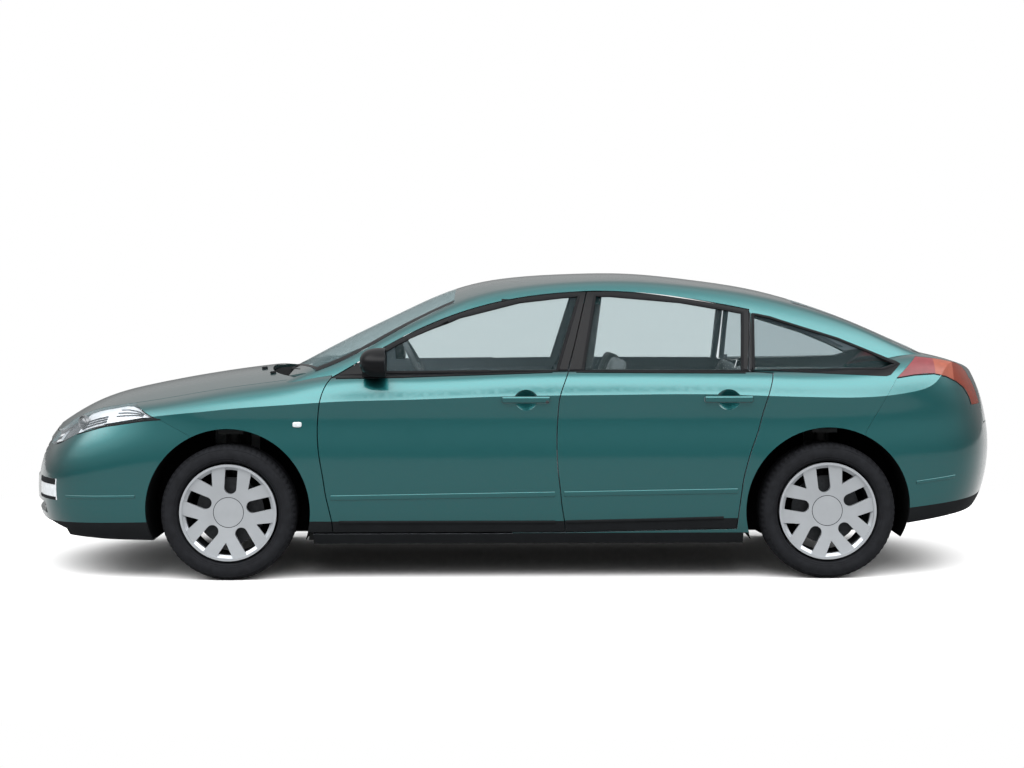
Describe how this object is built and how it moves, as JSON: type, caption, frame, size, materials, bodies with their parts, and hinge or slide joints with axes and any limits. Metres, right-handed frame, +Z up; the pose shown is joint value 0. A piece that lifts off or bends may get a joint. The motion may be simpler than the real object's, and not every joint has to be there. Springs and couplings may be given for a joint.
{
  "type": "four-door saloon car",
  "caption": "Saloon car with hinged doors, bonnet and boot lid, steered front wheels and a hollow cabin.",
  "frame": {"origin": "on the ground, at half the length and on the centreline", "axes": "+X towards the tail, +Y towards the car's right, +Z up; the car faces -X"},
  "size_m": [4.9042, 2.1204, 1.4792],
  "materials": {
    "body_paint": "metallic teal",
    "floor_paint": "sealed",
    "black_plastic": "grained",
    "cabin_plastic": "grained",
    "engine_alloy": "cast",
    "exhaust_steel": "dull",
    "clear_lamp": "clear",
    "window_glass": "clear",
    "suspension_steel": "satin black",
    "rim_alloy": "satin",
    "seat_cloth": "woven",
    "tyre_rubber": "matte",
    "red_lamp": "clear"
  },
  "bodies": {
    "root": {"body_side_left": "body_paint", "body_side_right": "body_paint", "boot_floor": "floor_paint", "cowl_panel": "black_plastic", "dashboard": "cabin_plastic", "engine_block": "engine_alloy", "exhaust": "exhaust_steel", "floor_pan": "floor_paint", "fog_lamps": "clear_lamp", "front_bumper": "body_paint", "front_frame": "floor_paint", "front_seats": "seat_cloth", "front_suspension": "suspension_steel", "front_wing_left": "body_paint", "front_wing_right": "body_paint", "grille": "black_plastic", "headlamps": "clear_lamp", "quarter_glasses": "window_glass", "rear_bumper": "body_paint", "rear_seat": "seat_cloth", "rear_suspension": "suspension_steel", "rear_window": "window_glass", "roof_panel": "body_paint", "steering_wheel": "cabin_plastic", "tail_lamps": "red_lamp", "wheel_liners": "black_plastic", "windscreen": "window_glass"},
    "bonnet": {"bonnet": "body_paint"},
    "boot_lid": {"boot_lid": "body_paint"},
    "front_door_left": {"front_door_left": "body_paint", "front_door_glass_left": "window_glass", "mirror_left": "body_paint"},
    "front_door_right": {"front_door_right": "body_paint", "front_door_glass_right": "window_glass", "mirror_right": "body_paint"},
    "rear_door_left": {"rear_door_left": "body_paint", "rear_door_glass_left": "window_glass"},
    "rear_door_right": {"rear_door_right": "body_paint", "rear_door_glass_right": "window_glass"},
    "knuckle_left": {"front_knuckle_left": "suspension_steel"},
    "knuckle_right": {"front_knuckle_right": "suspension_steel"},
    "front_wheel_left": {"front_rim_left": "rim_alloy", "front_tyre_left": "tyre_rubber"},
    "front_wheel_right": {"front_rim_right": "rim_alloy", "front_tyre_right": "tyre_rubber"},
    "rear_wheel_left": {"rear_rim_left": "rim_alloy", "rear_tyre_left": "tyre_rubber"},
    "rear_wheel_right": {"rear_rim_right": "rim_alloy", "rear_tyre_right": "tyre_rubber"}
  },
  "joints": [
    {"name": "front_door_left_swing", "type": "hinge", "parent": "root", "child": "front_door_left", "pos_m": [-0.9355, -0.932, 0.6], "axis": [0, 0, 1], "range_deg": [-68, 0]},
    {"name": "rear_door_left_swing", "type": "hinge", "parent": "root", "child": "rear_door_left", "pos_m": [0.2172, -0.932, 0.6], "axis": [0, 0, 1], "range_deg": [-68, 0]},
    {"name": "front_door_right_swing", "type": "hinge", "parent": "root", "child": "front_door_right", "pos_m": [-0.9355, 0.932, 0.6], "axis": [0, 0, 1], "range_deg": [0, 68]},
    {"name": "rear_door_right_swing", "type": "hinge", "parent": "root", "child": "rear_door_right", "pos_m": [0.2172, 0.932, 0.6], "axis": [0, 0, 1], "range_deg": [0, 68]},
    {"name": "bonnet_lift", "type": "hinge", "parent": "root", "child": "bonnet", "pos_m": [-1.0115, 0, 1.0105], "axis": [0, 1, 0], "range_deg": [0, 55]},
    {"name": "boot_lift", "type": "hinge", "parent": "root", "child": "boot_lid", "pos_m": [1.9745, 0, 1.0975], "axis": [0, 1, 0], "range_deg": [-72, 0]},
    {"name": "steer_left", "type": "hinge", "parent": "root", "child": "knuckle_left", "pos_m": [-1.374, -0.718, 0.328], "axis": [0, 0, 1], "range_deg": [-35, 35]},
    {"name": "steer_right", "type": "hinge", "parent": "root", "child": "knuckle_right", "pos_m": [-1.374, 0.718, 0.328], "axis": [0, 0, 1], "range_deg": [-35, 35]},
    {"name": "front_wheel_left_spin", "type": "hinge", "parent": "knuckle_left", "child": "front_wheel_left", "pos_m": [-1.374, -0.793, 0.328], "axis": [0, 1, 0], "continuous": true},
    {"name": "rear_wheel_left_spin", "type": "hinge", "parent": "root", "child": "rear_wheel_left", "pos_m": [1.526, -0.779, 0.328], "axis": [0, 1, 0], "continuous": true},
    {"name": "front_wheel_right_spin", "type": "hinge", "parent": "knuckle_right", "child": "front_wheel_right", "pos_m": [-1.374, 0.793, 0.328], "axis": [0, 1, 0], "continuous": true},
    {"name": "rear_wheel_right_spin", "type": "hinge", "parent": "root", "child": "rear_wheel_right", "pos_m": [1.526, 0.779, 0.328], "axis": [0, 1, 0], "continuous": true}
  ],
  "couplings": [
    {"joint": "steer_right", "follows": "steer_left", "ratio": 1}
  ]
}
